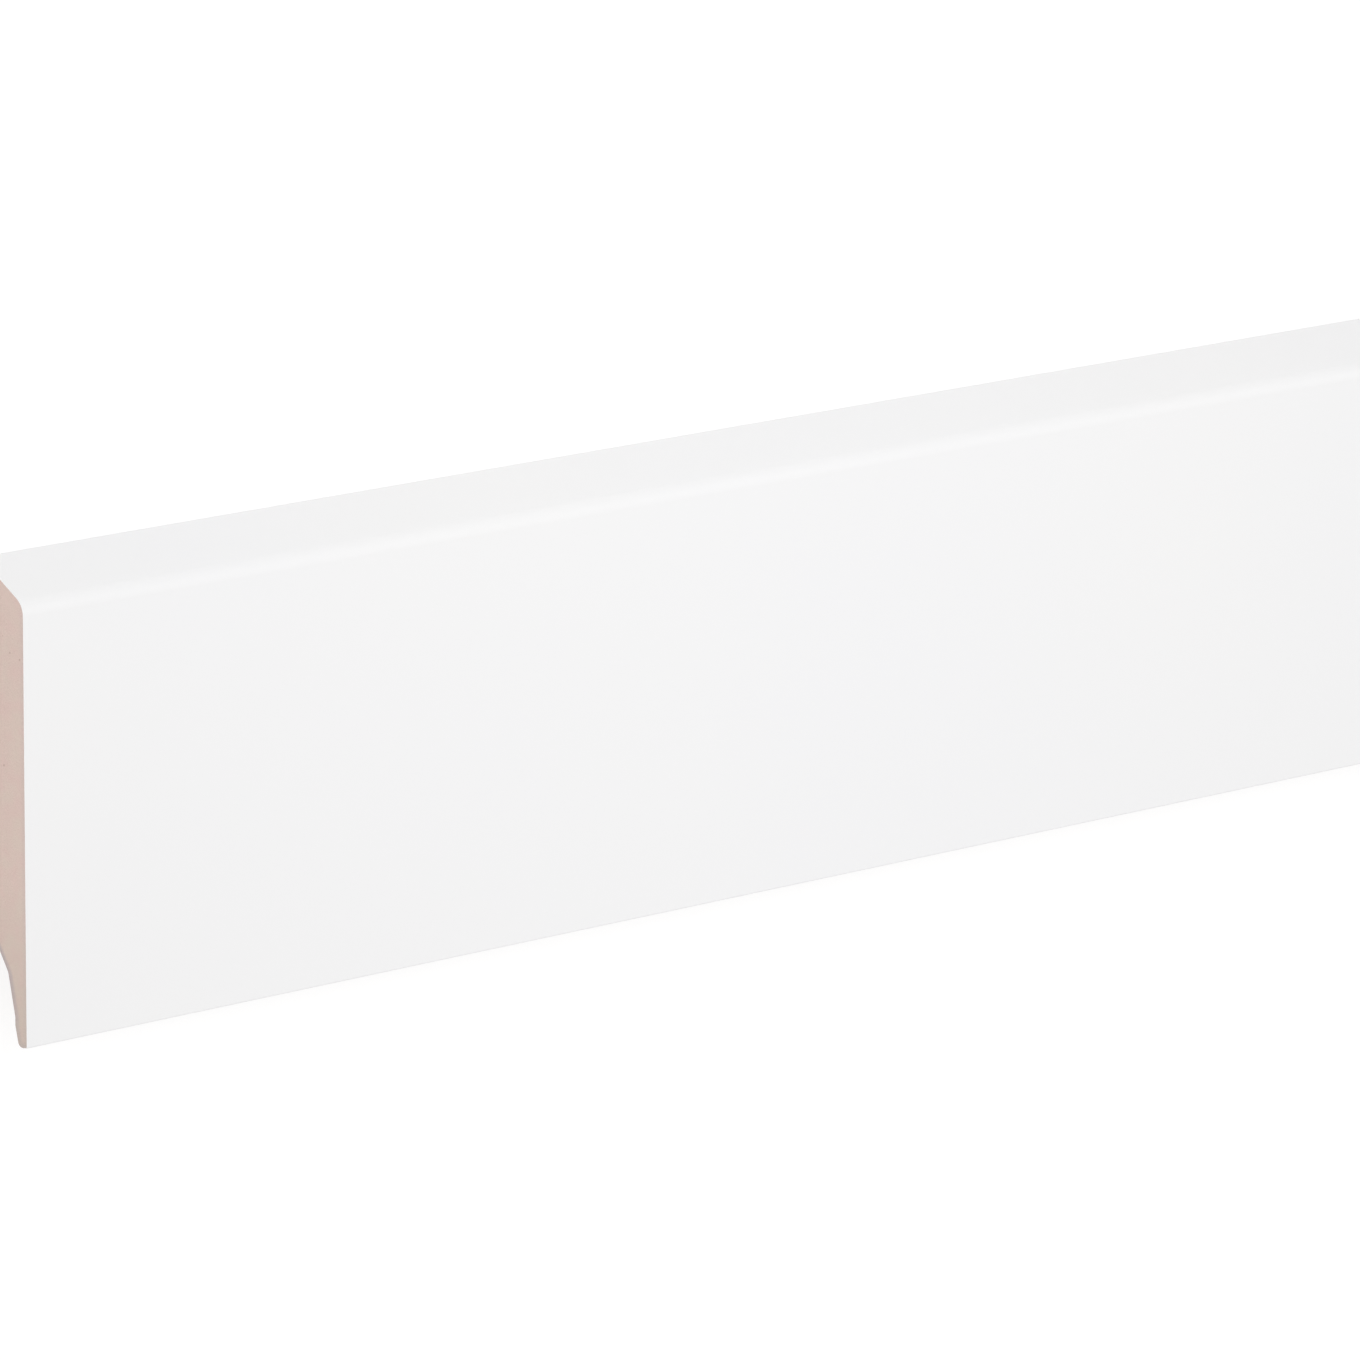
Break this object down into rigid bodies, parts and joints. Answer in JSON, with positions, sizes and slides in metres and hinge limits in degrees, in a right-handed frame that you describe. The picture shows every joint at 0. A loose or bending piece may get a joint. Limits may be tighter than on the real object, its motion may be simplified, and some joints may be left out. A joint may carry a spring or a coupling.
{
  "type": "skirting board length",
  "caption": "Straight length of white foil-wrapped skirting board with a slanted top, a rounded nose and a cable relief behind the foot.",
  "frame": {"origin": "middle of the board's length and height, on the surface that its back lies on", "axes": "+X along the board, +Y up its face from the foot to the top edge, +Z from the back out to the front face"},
  "size_m": [2.4, 0.12, 0.016],
  "materials": {
    "board": "fibreboard wrapped in white satin foil, raw where it is sawn and on the back"
  },
  "bodies": {
    "root": {"skirting_board": "board"}
  },
  "joints": []
}
